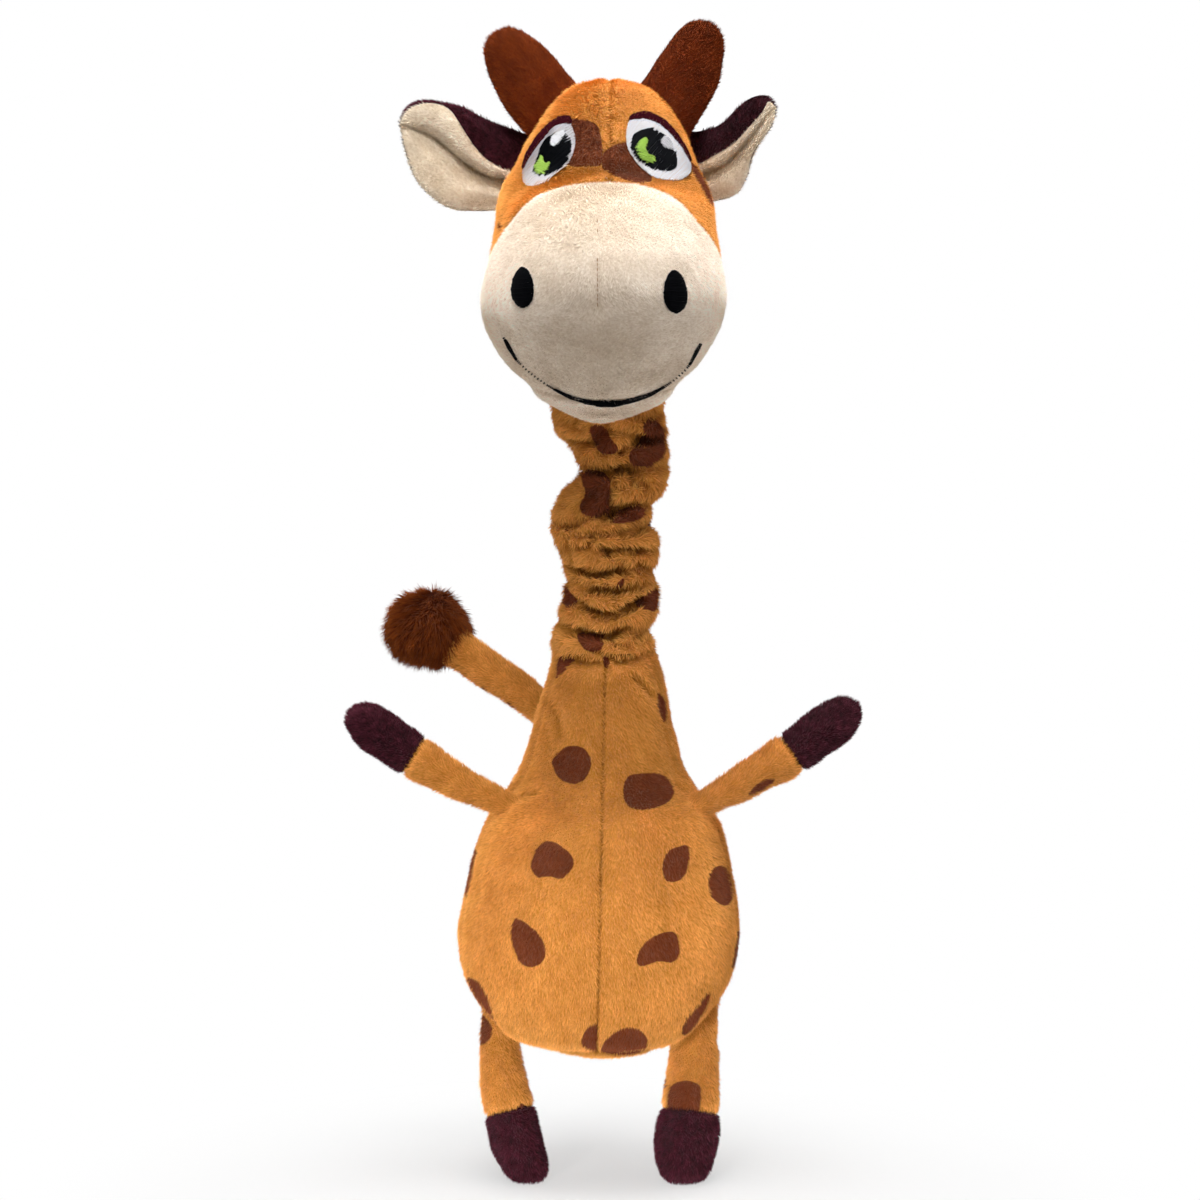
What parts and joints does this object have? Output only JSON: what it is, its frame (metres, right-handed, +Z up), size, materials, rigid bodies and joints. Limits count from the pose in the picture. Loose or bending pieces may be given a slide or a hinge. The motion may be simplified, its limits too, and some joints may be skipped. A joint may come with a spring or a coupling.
{
  "type": "plush giraffe",
  "caption": "Stuffed giraffe toy with a gathered neck over an elastic cord, a cream muzzle, paddle horns, leaf ears, stubby limbs and a tufted tail.",
  "frame": {"origin": "on the floor, below the middle of the toy's box, with the toy held upright as it is sewn", "axes": "+Z up along the neck, -Y the way the face looks, +X to the right of someone facing it"},
  "size_m": [0.1747, 0.1433, 0.3991],
  "materials": {
    "orange_plush": "matte",
    "cream_plush": "matte",
    "horn_suede": "matte",
    "plum_plush": "matte",
    "tuft_fur": "matte",
    "white_thread": "satin",
    "black_thread": "satin",
    "fibre_filling": "matte",
    "elastic_cord": "matte",
    "squeaker_plastic": "satin"
  },
  "bodies": {
    "torso": {"body_front_left": "orange_plush", "body_front_right": "orange_plush", "body_back_left": "orange_plush", "body_back_right": "orange_plush", "base_panel": "orange_plush", "body_filling_front": "fibre_filling", "body_filling_back": "fibre_filling", "squeaker_bulb": "squeaker_plastic", "squeaker_reed": "squeaker_plastic", "neck_anchor_lower": "elastic_cord"},
    "neck_lower": {"neck_sleeve_base": "orange_plush"},
    "neck_middle": {"neck_sleeve_lower": "orange_plush"},
    "neck_upper": {"neck_sleeve_middle": "orange_plush", "neck_elastic": "elastic_cord"},
    "head_base": {"neck_sleeve_upper": "orange_plush"},
    "head": {"neck_sleeve_top": "orange_plush", "head_skin_left": "orange_plush", "head_skin_right": "orange_plush", "muzzle_panel": "cream_plush", "chin_panel": "cream_plush", "head_filling": "fibre_filling", "neck_anchor_upper": "elastic_cord", "eye_left_white": "white_thread", "eye_left_iris": "black_thread", "eye_right_white": "white_thread", "eye_right_iris": "black_thread", "nostril_left": "black_thread", "nostril_right": "black_thread", "mouth_line": "black_thread"},
    "ear_left": {"ear_left_lining": "cream_plush", "ear_left_back": "plum_plush"},
    "ear_right": {"ear_right_lining": "cream_plush", "ear_right_back": "plum_plush"},
    "horn_left": {"horn_left_front": "horn_suede", "horn_left_back": "horn_suede"},
    "horn_right": {"horn_right_front": "horn_suede", "horn_right_back": "horn_suede"},
    "arm_left_root": {"arm_left_cuff": "orange_plush"},
    "arm_left": {"arm_left_sleeve": "orange_plush", "arm_left_hoof": "plum_plush", "arm_left_filling": "fibre_filling"},
    "arm_right_root": {"arm_right_cuff": "orange_plush"},
    "arm_right": {"arm_right_sleeve": "orange_plush", "arm_right_hoof": "plum_plush", "arm_right_filling": "fibre_filling"},
    "leg_left_root": {"leg_left_cuff": "orange_plush"},
    "leg_left": {"leg_left_sleeve": "orange_plush", "leg_left_hoof": "plum_plush", "leg_left_filling": "fibre_filling"},
    "leg_right_root": {"leg_right_cuff": "orange_plush"},
    "leg_right": {"leg_right_sleeve": "orange_plush", "leg_right_hoof": "plum_plush", "leg_right_filling": "fibre_filling"},
    "tail_root": {"tail_cuff": "orange_plush"},
    "tail": {"tail_sleeve": "orange_plush", "tail_filling": "fibre_filling", "tail_tuft": "tuft_fur"}
  },
  "joints": [
    {"name": "neck_sway", "type": "hinge", "parent": "torso", "child": "neck_lower", "pos_m": [0, 0.01525, 0.1919], "axis": [0, 1, 0], "range_deg": [-35, 35], "stiffness_Nm_per_rad": 0.5, "deforming": ["neck_sleeve_base"]},
    {"name": "neck_bend", "type": "hinge", "parent": "neck_lower", "child": "neck_middle", "pos_m": [0, 0.01525, 0.2101], "axis": [1, 0, 0], "range_deg": [-30, 40], "stiffness_Nm_per_rad": 0.5, "deforming": ["neck_sleeve_lower"]},
    {"name": "neck_stretch", "type": "slide", "parent": "neck_middle", "child": "neck_upper", "axis": [0, 0, 1], "range_m": [0, 0.085], "stiffness_N_per_m": 100, "deforming": ["neck_sleeve_middle", "neck_elastic"]},
    {"name": "head_nod", "type": "hinge", "parent": "neck_upper", "child": "head_base", "pos_m": [0, 0.01525, 0.25105], "axis": [1, 0, 0], "range_deg": [-30, 30], "stiffness_Nm_per_rad": 0.25, "deforming": ["neck_sleeve_upper"]},
    {"name": "head_turn", "type": "hinge", "parent": "head_base", "child": "head", "pos_m": [0.0022, 0.01525, 0.26106], "axis": [0, 0, 1], "range_deg": [-45, 45], "stiffness_Nm_per_rad": 0.15, "deforming": ["neck_sleeve_top"]},
    {"name": "ear_left_flap", "type": "hinge", "parent": "head", "child": "ear_left", "pos_m": [-0.03024, 0.02708, 0.34937], "axis": [0.2756, 0, 0.9613], "range_deg": [-20, 20], "stiffness_Nm_per_rad": 0.01},
    {"name": "ear_right_flap", "type": "hinge", "parent": "head", "child": "ear_right", "pos_m": [0.03419, 0.02622, 0.35275], "axis": [-0.2756, 0, 0.9613], "range_deg": [-10, 20], "stiffness_Nm_per_rad": 0.01},
    {"name": "horn_left_bend", "type": "hinge", "parent": "head", "child": "horn_left", "pos_m": [-0.01816, 0.01725, 0.37137], "axis": [0.7071, 0, 0.7071], "range_deg": [-10, 10], "stiffness_Nm_per_rad": 0.02},
    {"name": "horn_right_bend", "type": "hinge", "parent": "head", "child": "horn_right", "pos_m": [0.02286, 0.01725, 0.37133], "axis": [-0.7986, 0, 0.6018], "range_deg": [-10, 10], "stiffness_Nm_per_rad": 0.02},
    {"name": "arm_left_raise", "type": "hinge", "parent": "torso", "child": "arm_left_root", "pos_m": [-0.03345, 0.00331, 0.1305], "axis": [0, 1, 0], "range_deg": [-38, 55], "stiffness_Nm_per_rad": 0.02, "deforming": ["arm_left_cuff"]},
    {"name": "arm_left_swing", "type": "hinge", "parent": "arm_left_root", "child": "arm_left", "pos_m": [-0.04543, 0.00331, 0.13551], "axis": [0, 0, 1], "range_deg": [-40, 40], "stiffness_Nm_per_rad": 0.02},
    {"name": "arm_right_raise", "type": "hinge", "parent": "torso", "child": "arm_right_root", "pos_m": [0.03418, 0.00331, 0.1305], "axis": [0, -1, 0], "range_deg": [-45, 55], "stiffness_Nm_per_rad": 0.02, "deforming": ["arm_right_cuff"]},
    {"name": "arm_right_swing", "type": "hinge", "parent": "arm_right_root", "child": "arm_right", "pos_m": [0.04578, 0.00331, 0.13632], "axis": [0, 0, 1], "range_deg": [-40, 40], "stiffness_Nm_per_rad": 0.02},
    {"name": "leg_left_swing", "type": "hinge", "parent": "torso", "child": "leg_left_root", "pos_m": [-0.03573, 0.02746, 0.0575], "axis": [1, 0, 0], "range_deg": [-15, 30], "stiffness_Nm_per_rad": 0.03, "deforming": ["leg_left_cuff"]},
    {"name": "leg_left_spread", "type": "hinge", "parent": "leg_left_root", "child": "leg_left", "pos_m": [-0.03542, 0.02475, 0.04417], "axis": [0, 1, 0], "range_deg": [-10, 25], "stiffness_Nm_per_rad": 0.03},
    {"name": "leg_right_swing", "type": "hinge", "parent": "torso", "child": "leg_right_root", "pos_m": [0.03342, 0.02746, 0.0575], "axis": [1, 0, 0], "range_deg": [-15, 30], "stiffness_Nm_per_rad": 0.03, "deforming": ["leg_right_cuff"]},
    {"name": "leg_right_spread", "type": "hinge", "parent": "leg_right_root", "child": "leg_right", "pos_m": [0.03265, 0.02473, 0.04404], "axis": [0, -1, 0], "range_deg": [-10, 25], "stiffness_Nm_per_rad": 0.03},
    {"name": "tail_lift", "type": "hinge", "parent": "torso", "child": "tail_root", "pos_m": [0.0007, 0.04186, 0.1465], "axis": [0, 1, 0], "range_deg": [-30, 60], "stiffness_Nm_per_rad": 0.01, "deforming": ["tail_cuff"]},
    {"name": "tail_wag", "type": "hinge", "parent": "tail_root", "child": "tail", "pos_m": [-0.00811, 0.04486, 0.15294], "axis": [0, 0, -1], "range_deg": [-15, 60], "stiffness_Nm_per_rad": 0.01}
  ]
}
